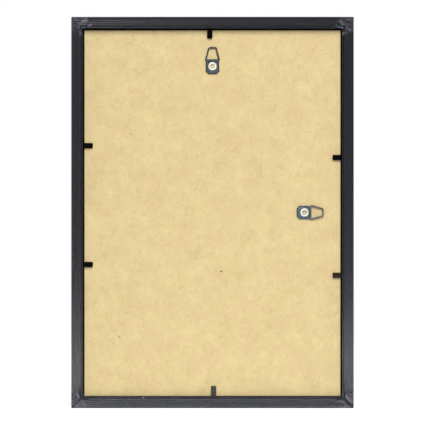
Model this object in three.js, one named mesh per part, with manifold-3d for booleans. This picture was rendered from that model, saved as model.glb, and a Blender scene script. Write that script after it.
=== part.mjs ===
// Picture frame for a 21 x 30 cm picture, standing upright, named as it is seen from the back.
// Millimetres. X runs to the right as seen from the back, Y from the back to the front, Z up.
// The origin is on the underside of the bottom rail, at half its length and half its depth.

import * as THREE from 'three';
import { mergeVertices } from 'three/addons/utils/BufferGeometryUtils.js';
import Module from 'manifold-3d';

// Pane, sheet and board, cut a little smaller than the 210 x 300 mm picture that the frame is made for
const layerWidth = 209.5;
const layerHeight = 299.2;
const glassThickness = 2;
const insertThickness = 0.3;
const boardThickness = 3;
const layerGap = 0.15;
const sideClearance = 1.25;
const topClearance = 1.4;
const seatClearance = 0.4;

// Moulding, measured across and through its section
const frameDepth = 15;
const railBackWidth = 9.5;
const lipWidth = 5;
const lipThickness = 4.2;
const backArris = 0.6;
const wallArris = 0.4;
const sightArris = 1;
const frontArris = 1.5;
const ridgeGrooves = [2.7, 4.3, 5.9];
const ridgeGrooveWidth = 0.6;
const ridgeGrooveDepth = 0.15;
const beadWidth = 0.9;
const beadGrooveWidth = 0.8;
const beadGrooveDepth = 0.35;
const mitreGap = 0.2;

// V-nails, two across each mitre, measured from the outer faces of both rails
const nailInsets = { outer: 4.2, inner: 7.6 };
const nailLeg = 6;
const nailThickness = 0.5;
const nailHeight = 7;
const nailSplay = 51;
const nailSink = 0.3;
const nailClearance = 0.2;

// Bendable points that hold the back board, and their places along each rail. They are driven in by hand,
// so the ones in the bottom and the right rail reach a little more and less than the others.
const pointWidth = 4.4;
const pointThickness = 0.45;
const pointReach = 8.15;
const bottomPointReach = 8.6;
const rightPointReach = 7.75;
const pointTipRadius = 0.9;
const pointRootGap = 0.3;
const pointBend = 0.75;
const pointLift = 1.2;
const tangDepth = 6.5;
const tangPoint = 1.6;
const tangClearance = 0.2;
const bottomPoint = 0.9;
const topPoint = 2.2;
const leftUpperPoint = -54.7;
const leftLowerPoint = 42.6;
const rightLowerPoint = -51.4;
const rightUpperPoint = 45;

// Hangers, riveted to the board at the same distance from its top and its right edge
const hangerInset = 29.35;
const strapThickness = 0.3;
const strapWidth = 11.7;
const strapWaist = 0.35;
const strapFlare = 1.6;
const strapTail = 6.5;
const strapChamfer = 2.5;
const strapLift = 0.15;
const wireDiameter = 1.3;
const wireClearance = 0.1;
const shoulderGap = 0.2;
const neckGap = 0.4;
const loopLength = 10.4;
const loopBaseWidth = 11.3;
const loopTipWidth = 5.9;
const loopTipRadius = 1.3;
const loopShoulderRadius = 0.75;
const eyeletBore = 3.2;
const eyeletWall = 0.45;
const eyeletFlange = 6.9;
const eyeletDome = 0.6;
const eyeletRim = 0.25;
const eyeletReach = 2.3;
const eyeletFlare = 5.4;
const eyeletFlareLength = 0.9;
const eyeletTip = 0.2;
const eyeletClearance = 0.2;
const eyeletGap = 0.1;

const arcSteps = 4;
const roundSteps = 32;
const wireSides = 10;

// What follows from the sizes above
const openingWidth = layerWidth + 2 * sideClearance;
const openingHeight = layerHeight + topClearance + seatClearance;
const outerWidth = openingWidth + 2 * railBackWidth;
const outerHeight = openingHeight + 2 * railBackWidth;
const backY = -frameDepth / 2;
const glassY = frameDepth / 2 - lipThickness - layerGap - glassThickness;
const insertY = glassY - layerGap - insertThickness;
const boardY = insertY - layerGap - boardThickness;
const packZ = railBackWidth + seatClearance;
const pointY = boardY - pointLift - pointThickness - backY;
const knuckleBore = wireDiameter / 2 + wireClearance;
const knuckleRadius = knuckleBore + strapThickness;
const knuckleOffset = eyeletFlange / 2 + eyeletGap + knuckleRadius;
const loopLean = Math.atan2((loopBaseWidth - loopTipWidth) / 2, loopLength);
const shoulderReach = loopShoulderRadius / Math.tan(Math.PI / 4 - loopLean / 2);
const knuckleWidth = loopBaseWidth - 2 * (shoulderReach + shoulderGap);

const wasm = await Module();
wasm.setup();

const satinBlack = { color: 0x303135, roughness: 0.45, metalness: 0 };
const blackSteel = { color: 0x101112, roughness: 0.4, metalness: 0.7 };
const nailSteel = { color: 0x8b8d90, roughness: 0.4, metalness: 1 };
const clearGlass = { color: 0xdfeae6, roughness: 0.05, metalness: 0, transparent: true, opacity: 0.3 };
const plainPaper = { color: 0xf2efe6, roughness: 0.9, metalness: 0 };
const hardboard = { color: 0xe7d19b, roughness: 0.85, metalness: 0 };
const zincSteel = { color: 0x6f7a88, roughness: 0.35, metalness: 1 };
const darkWire = { color: 0x565b62, roughness: 0.35, metalness: 1 };
const nickel = { color: 0xd9d8d0, roughness: 0.2, metalness: 1 };

// One named solid with its own material.
function piece(name, geometry, finish) {
  const mesh = new THREE.Mesh(geometry, new THREE.MeshStandardMaterial({ flatShading: true, ...finish }));
  mesh.name = name;
  return mesh;
}

// A closed surface as a solid that can be cut.
function solid(geometry) {
  const bare = geometry.clone();
  bare.deleteAttribute('normal');
  bare.deleteAttribute('uv');
  const merged = mergeVertices(bare);
  return new wasm.Manifold(new wasm.Mesh({
    numProp: 3,
    vertProperties: new Float32Array(merged.getAttribute('position').array),
    triVerts: new Uint32Array(merged.index.array),
  }));
}

// A solid back as a surface.
function surface(body) {
  const mesh = body.getMesh();
  const geometry = new THREE.BufferGeometry();
  geometry.setAttribute('position', new THREE.BufferAttribute(new Float32Array(mesh.vertProperties), 3));
  geometry.setIndex(new THREE.BufferAttribute(new Uint32Array(mesh.triVerts), 1));
  return geometry;
}

// The surface with every cutter taken away.
function cut(geometry, cutters) {
  return surface(cutters.reduce((body, cutter) => body.subtract(solid(cutter)), solid(geometry)));
}

// An outline from corners [x, z, radius], each rounded where it has a radius. Corners run anticlockwise.
function roundedOutline(corners) {
  const outline = new THREE.Shape();
  const at = (i) => {
    const [x, z] = corners[(i + corners.length) % corners.length];
    return new THREE.Vector2(x, z);
  };
  corners.forEach(([x, z, radius = 0], i) => {
    if (radius === 0) {
      if (i === 0) outline.moveTo(x, z);
      else outline.lineTo(x, z);
      return;
    }
    const toLast = at(i - 1).sub(at(i)).normalize();
    const toNext = at(i + 1).sub(at(i)).normalize();
    const half = toLast.angleTo(toNext) / 2;
    const middle = toLast.clone().add(toNext).setLength(radius / Math.sin(half)).add(at(i));
    const start = at(i).addScaledVector(toLast, radius / Math.tan(half)).sub(middle).angle();
    const end = at(i).addScaledVector(toNext, radius / Math.tan(half)).sub(middle).angle();
    outline.absarc(middle.x, middle.y, radius, start, end, false);
  });
  return outline;
}

// An outline drawn in X and Z, given a thickness from low to high along Y.
function slab(outline, low, high) {
  const options = { depth: high - low, bevelEnabled: false, curveSegments: arcSteps };
  return new THREE.ExtrudeGeometry(outline, options).rotateX(Math.PI / 2).translate(0, high, 0);
}

// A round bar along Y.
function bar(radius, low, high) {
  const cylinder = new THREE.CylinderGeometry(radius, radius, high - low, roundSteps);
  return cylinder.translate(0, (low + high) / 2, 0);
}

function rectangle(left, bottom, right, top) {
  return roundedOutline([[left, bottom], [right, bottom], [right, top], [left, top]]);
}

// Section of the moulding: across from the outer face, and through from the back face to the front.
function railSection() {
  const lipEdge = railBackWidth + lipWidth;
  const seat = frameDepth - lipThickness;
  const shape = new THREE.Shape();
  shape.moveTo(backArris, 0);
  const groove = (place, width, depth) => {
    shape.lineTo(place - width / 2, 0);
    shape.lineTo(place, depth);
    shape.lineTo(place + width / 2, 0);
  };
  ridgeGrooves.forEach((place) => groove(place, ridgeGrooveWidth, ridgeGrooveDepth));
  groove(railBackWidth - beadWidth - beadGrooveWidth / 2, beadGrooveWidth, beadGrooveDepth);
  shape.absarc(railBackWidth - wallArris, wallArris, wallArris, -Math.PI / 2, 0, false);
  shape.lineTo(railBackWidth, seat);
  shape.lineTo(lipEdge, seat);
  shape.absarc(lipEdge - sightArris, frameDepth - sightArris, sightArris, 0, Math.PI / 2, false);
  shape.absarc(frontArris, frameDepth - frontArris, frontArris, Math.PI / 2, Math.PI, false);
  shape.absarc(backArris, backArris, backArris, Math.PI, 1.5 * Math.PI, false);
  return shape;
}

// A rail along X with its outer face down at Z = 0 and its back face at Y = 0. Each line of the section
// is shortened at both ends by its distance from the outer face, which makes the 45 degree mitres.
function mitredRail(outerLength) {
  const options = { depth: 1, bevelEnabled: false, curveSegments: arcSteps };
  const geometry = new THREE.ExtrudeGeometry(railSection(), options);
  const place = geometry.getAttribute('position');
  for (let i = 0; i < place.count; i += 1) {
    const across = place.getX(i);
    const length = outerLength - 2 * across - mitreGap * Math.SQRT2;
    place.setXYZ(i, (0.5 - place.getZ(i)) * length, place.getY(i), across);
  }
  return geometry;
}

// The V of a nail at a corner with both rails leaving along +X and +Z, grown by a clearance all round.
function nailOutline(inset, grow) {
  const half = THREE.MathUtils.degToRad(nailSplay);
  const side = nailThickness / 2 + grow;
  const turn = (x, z) => [inset + (x - z) * Math.SQRT1_2, inset + (x + z) * Math.SQRT1_2];
  const tip = side / Math.sin(half);
  const end = nailLeg + grow;
  const along = [end * Math.cos(half), end * Math.sin(half)];
  const off = [side * Math.sin(half), side * Math.cos(half)];
  return roundedOutline([
    turn(-tip, 0),
    turn(along[0] - off[0], -along[1] - off[1]),
    turn(along[0] + off[0], -along[1] + off[1]),
    turn(tip, 0),
    turn(along[0] + off[0], along[1] - off[1]),
    turn(along[0] - off[0], along[1] + off[1]),
  ]);
}

// The slots that the nails of both ends of a rail stand in.
function nailSlots(outerLength) {
  const depth = nailSink + nailHeight + nailClearance;
  return Object.values(nailInsets).flatMap((inset) => {
    const slot = slab(nailOutline(inset, nailClearance), -1, depth);
    return [
      slot.clone().translate(-outerLength / 2, 0, 0),
      slot.clone().rotateY(-Math.PI / 2).translate(outerLength / 2, 0, 0),
    ];
  });
}

// The tang of a bendable point, measured inwards from the rebate wall, pointed where it is driven in.
function tangOutline(grow) {
  const half = pointWidth / 2 + grow;
  return roundedOutline([
    [-half, tangPoint - tangDepth - grow],
    [0, -tangDepth - grow],
    [half, tangPoint - tangDepth - grow],
    [half, pointBend - pointThickness / 2 - pointRootGap],
    [-half, pointBend - pointThickness / 2 - pointRootGap],
  ]);
}

// The blade of a bendable point, from just before its bend to its rounded tip.
function bladeOutline(reach) {
  const half = pointWidth / 2;
  const root = pointBend - pointThickness / 2;
  return roundedOutline([
    [-half, root],
    [half, root],
    [half, reach, pointTipRadius],
    [-half, reach, pointTipRadius],
  ]);
}

// One side of the frame, built as the bottom side: its rail, its points and the nails of its left corner.
function frameSide(side) {
  const { name, corner, length, reach, points } = side;
  const group = new THREE.Group();
  const slotLow = pointY - tangClearance;
  const slotHigh = pointY + pointThickness + tangClearance;
  const pointSlots = points.map(([, place]) => (
    slab(tangOutline(tangClearance), slotLow, slotHigh).translate(place, 0, railBackWidth)
  ));
  const slots = [...nailSlots(length), ...pointSlots];
  group.add(piece(`rail_${name}`, cut(mitredRail(length), slots), satinBlack));
  for (const [which, inset] of Object.entries(nailInsets)) {
    const nail = slab(nailOutline(inset, 0), nailSink, nailSink + nailHeight);
    const mesh = piece(`v_nail_${corner}_${which}`, nail, nailSteel);
    mesh.position.x = -length / 2;
    group.add(mesh);
  }
  for (const [label, place] of points) {
    const tang = piece(`point_tang_${label}`, slab(tangOutline(0), 0, pointThickness), blackSteel);
    const blade = piece(`point_blade_${label}`, slab(bladeOutline(reach), 0, pointThickness), blackSteel);
    for (const mesh of [tang, blade]) {
      mesh.position.set(place, pointY, railBackWidth);
      group.add(mesh);
    }
  }
  return group;
}

// Folded strap: a double leaf along Z that opens into a knuckle round the wire, from Y = 0 towards the back.
function strapGeometry() {
  const fold = 2 * strapThickness;
  const meet = Math.asin((knuckleRadius - fold) / knuckleRadius);
  const side = new THREE.Shape();
  side.moveTo(-strapTail, 0);
  side.absarc(knuckleOffset, knuckleRadius, knuckleRadius, -Math.PI / 2, Math.PI + meet, false);
  side.lineTo(-strapTail, fold);
  const bore = new THREE.Path();
  bore.absarc(knuckleOffset, knuckleRadius, knuckleBore, 0, 2 * Math.PI, true);
  side.holes.push(bore);
  const options = { depth: strapWidth, bevelEnabled: false, curveSegments: roundSteps };
  const leaf = new THREE.ExtrudeGeometry(side, options).translate(0, 0, -strapWidth / 2);
  leaf.applyMatrix4(new THREE.Matrix4().makeBasis(
    new THREE.Vector3(0, 0, 1),
    new THREE.Vector3(0, -1, 0),
    new THREE.Vector3(1, 0, 0),
  ));
  const half = strapWidth / 2;
  const neck = knuckleOffset - wireDiameter / 2 - neckGap;
  const low = strapChamfer - strapTail;
  const plan = new THREE.Shape();
  plan.moveTo(strapChamfer - half, -strapTail);
  plan.lineTo(half - strapChamfer, -strapTail);
  plan.lineTo(half, low);
  plan.quadraticCurveTo(half - strapWaist, low + strapFlare / 3, half - strapWaist, low + strapFlare);
  plan.lineTo(half - strapWaist, neck);
  plan.lineTo(knuckleWidth / 2, neck);
  plan.lineTo(knuckleWidth / 2, knuckleOffset + 2 * knuckleRadius);
  plan.lineTo(-knuckleWidth / 2, knuckleOffset + 2 * knuckleRadius);
  plan.lineTo(-knuckleWidth / 2, neck);
  plan.lineTo(strapWaist - half, neck);
  plan.lineTo(strapWaist - half, low + strapFlare);
  plan.quadraticCurveTo(strapWaist - half, low + strapFlare / 3, -half, low);
  const blank = solid(leaf).intersect(solid(slab(plan, -3 * knuckleRadius, knuckleRadius)));
  const hole = bar(eyeletBore / 2 + eyeletWall + eyeletClearance, -3 * knuckleRadius, knuckleRadius);
  return surface(blank.subtract(solid(hole)));
}

// Closed wire of round section along a flat outline in X and Z. Ring i of the surface is centred on
// point i of the outline and stands in the plane that halves the bend there.
function closedWire(outline) {
  const points = outline.getPoints(arcSteps + 2);
  const count = points.length;
  const vertices = [];
  const faces = [];
  points.forEach((point, i) => {
    const before = point.clone().sub(points[(i + count - 1) % count]).normalize();
    const after = points[(i + 1) % count].clone().sub(point).normalize();
    const along = before.clone().add(after).normalize();
    const stretch = wireDiameter / 2 / along.dot(after);
    for (let k = 0; k < wireSides; k += 1) {
      const angle = (2 * Math.PI * k) / wireSides;
      const off = stretch * Math.cos(angle);
      vertices.push(point.x + along.y * off, (wireDiameter / 2) * Math.sin(angle), point.y - along.x * off);
      const next = (k + 1) % wireSides;
      const here = i * wireSides;
      const there = ((i + 1) % count) * wireSides;
      faces.push(here + k, here + next, there + k, there + k, here + next, there + next);
    }
  });
  const geometry = new THREE.BufferGeometry();
  geometry.setAttribute('position', new THREE.BufferAttribute(new Float32Array(vertices), 3));
  geometry.setIndex(faces);
  return geometry;
}

// Wire loop lying flat: a straight base through the knuckle at Z = 0 and two arms that draw together.
function loopGeometry() {
  const base = loopBaseWidth / 2;
  const tip = loopTipWidth / 2;
  return closedWire(roundedOutline([
    [-base, 0, loopShoulderRadius],
    [base, 0, loopShoulderRadius],
    [tip, loopLength, loopTipRadius],
    [-tip, loopLength, loopTipRadius],
  ]));
}

// Eyelet: a domed flange on the strap and a tube driven into the board, where its end flares and grips.
function eyeletGeometry() {
  const bore = eyeletBore / 2;
  const tube = bore + eyeletWall;
  const flange = eyeletFlange / 2;
  const flare = eyeletFlare / 2;
  const under = -strapLift - 2 * strapThickness - eyeletGap;
  const flareStart = eyeletReach - eyeletFlareLength;
  const crown = (bore + flange) / 2;
  const profile = new THREE.Path();
  profile.moveTo(tube, flareStart);
  profile.lineTo(tube, under);
  profile.lineTo(flange, under);
  profile.lineTo(flange, under - eyeletRim);
  profile.quadraticCurveTo(flange, under - eyeletDome, crown, under - eyeletDome);
  profile.quadraticCurveTo(bore, under - eyeletDome, bore, under);
  profile.lineTo(bore, flareStart);
  profile.quadraticCurveTo(bore, (flareStart + eyeletReach) / 2, flare - eyeletTip, eyeletReach);
  profile.lineTo(flare, eyeletReach - eyeletTip);
  profile.quadraticCurveTo(tube, (flareStart + eyeletReach) / 2, tube, flareStart);
  return new THREE.LatheGeometry(profile.getPoints(arcSteps + 1).reverse(), roundSteps);
}

// A hanger with its eyelet on the origin, on the back face of the board, its loop pointing up.
function hanger(name) {
  const group = new THREE.Group();
  const strap = piece(`${name}_strap`, strapGeometry(), zincSteel);
  strap.position.y = -strapLift;
  const loop = piece(`${name}_loop`, loopGeometry(), darkWire);
  loop.position.set(0, -strapLift - knuckleRadius, knuckleOffset);
  group.add(strap, loop, piece(`${name}_eyelet`, eyeletGeometry(), nickel));
  return group;
}

// The ring that an eyelet cuts into the board, round a core of the board that stays inside its tube.
function eyeletRing() {
  const core = eyeletBore / 2 - eyeletClearance;
  const bore = eyeletBore / 2 + eyeletWall + eyeletClearance;
  const flare = eyeletFlare / 2 + eyeletClearance;
  const bottom = eyeletReach + eyeletClearance;
  const profile = [
    [bore, eyeletReach - eyeletFlareLength],
    [bore, -1],
    [core, -1],
    [core, bottom],
    [flare, bottom],
    [flare, eyeletReach - eyeletTip - eyeletClearance],
    [bore, eyeletReach - eyeletFlareLength],
  ].map(([radius, y]) => new THREE.Vector2(radius, y));
  return new THREE.LatheGeometry(profile.reverse(), roundSteps);
}

// The board with the ring of each eyelet cut into its back.
function boardGeometry(places) {
  const board = slab(rectangle(-layerWidth / 2, 0, layerWidth / 2, layerHeight), 0, boardThickness);
  return cut(board, places.map(([x, z]) => eyeletRing().translate(x, 0, z)));
}

const frame = new THREE.Group();
frame.name = 'picture_frame';

const acrossSides = { length: outerWidth, toMiddle: outerHeight / 2 };
const uprightSides = { length: outerHeight, toMiddle: outerWidth / 2 };
const sides = [
  {
    name: 'bottom',
    corner: 'bottom_left',
    turn: 0,
    reach: bottomPointReach,
    points: [['bottom', bottomPoint]],
    ...acrossSides,
  },
  {
    name: 'right',
    corner: 'bottom_right',
    turn: -90,
    reach: rightPointReach,
    points: [['right_lower', rightLowerPoint], ['right_upper', rightUpperPoint]],
    ...uprightSides,
  },
  {
    name: 'top',
    corner: 'top_right',
    turn: 180,
    reach: pointReach,
    points: [['top', topPoint]],
    ...acrossSides,
  },
  {
    name: 'left',
    corner: 'top_left',
    turn: 90,
    reach: pointReach,
    points: [['left_upper', leftUpperPoint], ['left_lower', leftLowerPoint]],
    ...uprightSides,
  },
];
for (const side of sides) {
  const body = frameSide(side);
  body.position.set(0, backY, -side.toMiddle);
  const turned = new THREE.Group();
  turned.position.z = outerHeight / 2;
  turned.rotation.y = THREE.MathUtils.degToRad(side.turn);
  turned.add(body);
  frame.add(turned);
}

const topHangerPlace = [0, layerHeight - hangerInset];
const sideHangerPlace = [layerWidth / 2 - hangerInset, outerHeight / 2 - packZ];
const pane = rectangle(-layerWidth / 2, 0, layerWidth / 2, layerHeight);
const pack = new THREE.Group();
pack.position.z = packZ;
const layers = [
  ['glazing', slab(pane, 0, glassThickness), clearGlass, glassY],
  ['insert_sheet', slab(pane, 0, insertThickness), plainPaper, insertY],
  ['back_board', boardGeometry([topHangerPlace, sideHangerPlace]), hardboard, boardY],
];
for (const [name, geometry, finish, y] of layers) {
  const layer = piece(name, geometry, finish);
  layer.position.y = y;
  pack.add(layer);
}
const hangers = [['top_hanger', topHangerPlace, 0], ['side_hanger', sideHangerPlace, 90]];
for (const [name, [x, z], turn] of hangers) {
  const body = hanger(name);
  body.position.set(x, boardY, z);
  body.rotation.y = THREE.MathUtils.degToRad(turn);
  pack.add(body);
}
frame.add(pack);

export default frame;
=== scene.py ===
"""Looks of the picture frame, seen from behind as it stands: black mitred moulding, hardboard back,
bendable points and two riveted strap hangers. Metres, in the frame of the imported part.
"""

import bpy
import numpy as np
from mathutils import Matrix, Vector


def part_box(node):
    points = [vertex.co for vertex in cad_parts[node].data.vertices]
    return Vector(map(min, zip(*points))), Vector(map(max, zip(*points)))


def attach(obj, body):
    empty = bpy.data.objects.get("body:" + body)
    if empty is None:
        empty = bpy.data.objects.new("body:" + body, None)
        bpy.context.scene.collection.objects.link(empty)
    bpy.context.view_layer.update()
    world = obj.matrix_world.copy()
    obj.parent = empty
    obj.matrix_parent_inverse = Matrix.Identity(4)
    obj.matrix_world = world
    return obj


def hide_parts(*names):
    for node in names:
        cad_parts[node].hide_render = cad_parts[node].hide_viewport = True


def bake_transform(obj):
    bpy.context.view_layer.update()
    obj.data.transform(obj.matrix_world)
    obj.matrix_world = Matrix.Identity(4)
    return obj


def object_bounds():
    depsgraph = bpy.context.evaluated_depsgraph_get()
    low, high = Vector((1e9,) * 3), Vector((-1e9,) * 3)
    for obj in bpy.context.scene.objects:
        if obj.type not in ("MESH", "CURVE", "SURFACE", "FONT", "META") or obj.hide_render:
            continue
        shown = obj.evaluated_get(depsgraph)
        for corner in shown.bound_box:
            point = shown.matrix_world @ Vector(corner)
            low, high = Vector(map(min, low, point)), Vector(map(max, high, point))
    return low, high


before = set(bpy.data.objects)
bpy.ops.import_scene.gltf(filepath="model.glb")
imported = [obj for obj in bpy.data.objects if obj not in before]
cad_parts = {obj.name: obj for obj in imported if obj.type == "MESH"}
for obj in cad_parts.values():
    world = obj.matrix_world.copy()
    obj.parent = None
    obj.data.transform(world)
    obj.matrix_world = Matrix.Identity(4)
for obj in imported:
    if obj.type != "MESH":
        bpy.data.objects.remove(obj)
cad_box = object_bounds()

MM = 0.001
# Places closer than this, in mm, count as the same
TOLERANCE = 0.001
# First seeds of the ragged grains, one more for each corner, and the cells after which a grain repeats
COARSE_SEED, FINE_SEED, TEAR_SEED = 21, 31, 41
GRAIN_CELLS = 64

# Moulding section in mm, across from the outer face and through from the back face
RAIL_WIDTH = 9.5
LIP_WIDTH = 5.0
LIP_THICKNESS = 4.2
BACK_ARRIS = 0.6
WALL_ARRIS = 0.4
MATT_START = 1.0
SIGHT_ARRIS = 1.0
FRONT_ARRIS = 1.5
RIDGE_GROOVES = (2.7, 4.3, 5.9)
RIDGE_GROOVE_WIDTH = 0.7
RIDGE_GROOVE_DEPTH = 0.15
BEAD_GROOVE = 8.2
BEAD_GROOVE_WIDTH = 0.9
BEAD_GROOVE_DEPTH = 0.35
CORNER_RADIUS = 0.9
# Steps over the back face, and round the arrises of the wall, the sight edge, the front and the back
BACK_STEPS = 64
ARRIS_STEPS = (6, 8, 10, 8)
# Gap in a mitre, how far the section is drawn in there, and the depths between which that begins
MITRE_GAP = 0.03
MITRE_EASE = 0.5
EASE_DEPTHS = (2.0, 4.0)
# Stations along a rail: close together over both ends, where the scars are, and few between
FINE_END = 17.0
FINE_STEP = 0.15
MIDDLE_STEPS = 12
# Depths from the back, and lengths from the mitre, between which the scars fade out
SCAR_DEPTHS = (0.3, 0.7)
SCAR_LENGTHS = (FINE_END - 3, FINE_END - 0.5)

# Nailed corners in mm, from the outer faces of both rails
NAIL_INSETS = (4.2, 7.6)
NAIL_LEG = 6.0
NAIL_SPLAY = np.radians(51)
# Sizes of the ragged grain in the marks about a nail
COARSE_GRAIN, FINE_GRAIN, TEAR_GRAIN = 1.1, 0.45, 1.7
# A slot: half width at its floor and at the face, how ragged it is, its depth, and the grain that tears it
SLOT_HALVES = (0.27, 0.52)
SLOT_RAGGED = 0.25
SLOT_DEPTH = 0.8
TEAR_GRAINS = (0.92, 1.1)
# The press's dent about a slot: its depth, where it fades out, and how ragged it is
PRESS_DENT = 0.05
DENT_REACH = (1.2, 3.4)
DENT_RAGGED = 1.2
# Burrs beside a slot: their height, place and spread, the grain that raises them, and how pale they are
BURR_RISE = 0.05
BURR_OFF, BURR_SPREAD = 0.75, 0.35
BURR_COARSE, BURR_GRAINS = 0.6, (0.35, 0.75)
BURR_PALE = 0.15
# Even and ragged share of a crushed stroke's edge
STROKE_EVEN, STROKE_RAGGED = 0.6, 0.8
# An open mitre: half width at its floor and at the face, where it closes at its end, depth and painted shade
GAPE_HALVES = (0.1, 0.55)
GAPE_CLOSE = (-2, 0.01)
GAPE_DEPTH = 0.7
GAPE_SHADE = 0.5
# Scuffs over the whole corner: how pale, where they fade out, and their even and ragged share
SCUFF = 0.14
SCUFF_REACH = (6.4, 16.0)
SCUFF_EVEN, SCUFF_RAGGED = 0.4, 1.2

# Bendable points in mm, and the share of its width that a tang keeps at its point
POINT_TIP_RADIUS = 0.9
POINT_EDGE = 0.09
POINT_BEND = 0.75
POINT_BEND_HALF = 0.4
TANG_POINT = 1.6
TANG_BLUNT = 0.12
# Steps along the taper, the tang, the bend and the blade, round the tip, and round a soft edge
POINT_STEPS = (5, 5, 16, 7)
POINT_TIP_STEPS = 9
POINT_EDGE_STEPS = 4

# Hangers in mm
STRAP_THICKNESS = 0.3
STRAP_WAIST = 0.35
STRAP_FLARE = 1.6
STRAP_CHAMFER = 2.5
STRAP_EDGE = 0.08
EDGE_ANGLE = np.radians(50)
STRAP_STEP = 0.15
LEAF_GAP = 0.02
# Where the fold leaves the knuckle's round, in degrees, and how far it is pulled on before it lies flat
KNUCKLE_CLOSE = 205
KNUCKLE_PULL = 0.35
KNUCKLE_STEPS = 28
LANDING_STEPS = 5
# The square about the eyelet: half its width, its share of the lanes across, and how far round it blends out
STRAP_CORE = 1.5
CORE_LANE = 0.28
CORE_BLEND = 1.6
# Steps along a leaf: its chamfer, flare, waist before the square, the square and the waist after it. Steps
# across: margin, square and margin.
LEAF_STEPS = (5, 5, 3, 8, 5)
LANE_STEPS = (7, 8, 7)
# Reach of the painted shade along a stamped edge, and how strong the painted shade is on the knuckle
EDGE_SHADE_REACH = 1.5
KNUCKLE_SHADE = 0.35
# Gaps between the strap's shoulders and the loop, along and across
NECK_GAP = 0.4
SHOULDER_GAP = 0.2
# The wire loop
LOOP_BASE_WIDTH = 11.3
LOOP_TIP_WIDTH = 5.9
LOOP_TIP_RADIUS = 1.3
LOOP_SHOULDER_RADIUS = 0.75
LOOP_CORNER_STEPS = 12
WIRE_TURNS = 20
# The eyelet
EYELET_BORE = 3.2
EYELET_WALL = 0.45
EYELET_HOLE = 4.5
EYELET_DOME = 0.6
EYELET_RIM = 0.25
EYELET_CHAMFER = 0.05
EYELET_FLARE = 5.4
EYELET_FLARE_LENGTH = 0.9
EYELET_TIP = 0.2
EYELET_STEPS = 8
EYELET_TURNS = 72

# Photograph's view in metres, and the sensor in mm
VIEW_DISTANCE = 4.0
VIEW_WIDTH = 0.3475
SENSOR = 36.0

low, high = (np.array(corner) / MM for corner in cad_box)
back_y = low[1]
depth = high[1] - low[1]
centre = np.array([(low[0] + high[0]) / 2, (low[2] + high[2]) / 2])

# Each side: direction along it, direction inwards, and the corners at its start and its end, in X and Z
SIDES = {
    "bottom": ((1, 0), (0, 1), "bottom_left", "bottom_right"),
    "right": ((0, 1), (-1, 0), "bottom_right", "top_right"),
    "top": ((-1, 0), (0, -1), "top_right", "top_left"),
    "left": ((0, -1), (1, 0), "top_left", "bottom_left"),
}

# Plastic crushed pale beside the nails, in strokes. Each end of a stroke is in mm from the corner,
# first along the side that starts there, then across it. The last numbers are the stroke's half width
# and how pale it is.
CRUSHED = {
    "bottom_left": (
        (4.5, 10.6, 6.3, 8.9, 1.4, 0.6), (7.8, 6.6, 11.0, 6.9, 0.6, 0.5), (9.4, 4.4, 11.5, 3.2, 0.8, 0.55),
        (0.8, 5.6, 2.0, 6.5, 0.7, 0.5), (3.9, 3.0, 6.7, 4.4, 0.6, 0.45),
    ),
    "bottom_right": (
        (10.1, 6.6, 8.5, 4.6, 1.0, 0.8), (5.6, 11.5, 5.2, 7.9, 0.9, 0.7), (7.3, 4.2, 6.0, 2.9, 0.7, 0.6),
        (2.4, 7.0, 1.6, 4.6, 0.6, 0.4),
    ),
    "top_right": (
        (10.7, 3.5, 8.9, 6.4, 1.0, 0.6), (14.0, 7.4, 9.2, 8.9, 0.6, 0.65), (5.8, 8.9, 2.9, 11.1, 0.9, 0.6),
        (9.1, 13.7, 6.6, 12.9, 1.1, 0.65), (5.0, 2.3, 2.1, 1.9, 0.8, 0.45), (7.0, 6.4, 4.2, 5.8, 0.7, 0.35),
    ),
    "top_left": (
        (4.5, 5.7, 3.9, 9.4, 0.9, 0.8), (3.8, 9.8, 2.6, 11.7, 1.1, 1.0), (7.2, 13.9, 6.9, 15.4, 0.7, 0.75),
        (7.9, 9.8, 7.1, 11.5, 0.7, 0.7), (7.3, 3.5, 8.6, 6.6, 1.0, 0.5), (11.3, 7.4, 14.6, 7.6, 0.7, 0.5),
        (2.7, 2.9, 2.5, 4.9, 0.7, 0.45),
    ),
}
# How far the slot of the outer and of the inner nail is torn open, and how long the mitre stands open, in mm
TORN = {
    "bottom_left": (0.35, 0.85),
    "bottom_right": (0.3, 0.95),
    "top_right": (0.4, 0.75),
    "top_left": (0.65, 0.7),
}
OPEN_MITRES = {"bottom_left": 7.0, "bottom_right": 7.5}
# Nicks in the edge of the rebate, in mm: place along the side from its middle, half length, reach, depth,
# and how pale
NICKS = {"bottom": (-56.7, 0.7, 1.8, 0.35, 1.3)}
# Share of a nick's reach at its full depth, and close stations over so many of its half lengths either way
NICK_FULL = 0.3
NICK_SPAN = 4
NICK_STEPS = 25


# Geometry

def smooth(low_end, high_end, value):
    """Smooth step from 0 at low_end to 1 at high_end."""
    t = np.clip((value - low_end) / (high_end - low_end), 0, 1)
    return t * t * (3 - 2 * t)


def arc(middle, radius, start, end, steps):
    """Points on a circle about middle, from the start to the end angle in degrees."""
    angle = np.radians(np.linspace(start, end, steps + 1))
    return np.stack([middle[0] + radius * np.cos(angle), middle[1] + radius * np.sin(angle)], -1)


def spaced(marks, steps):
    """Places from mark to mark, with so many even steps from each one to the next."""
    spans = [np.linspace(start, end, count + 1)[1:] for start, end, count in zip(marks, marks[1:], steps)]
    return np.concatenate([marks[:1], *spans])


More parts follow.
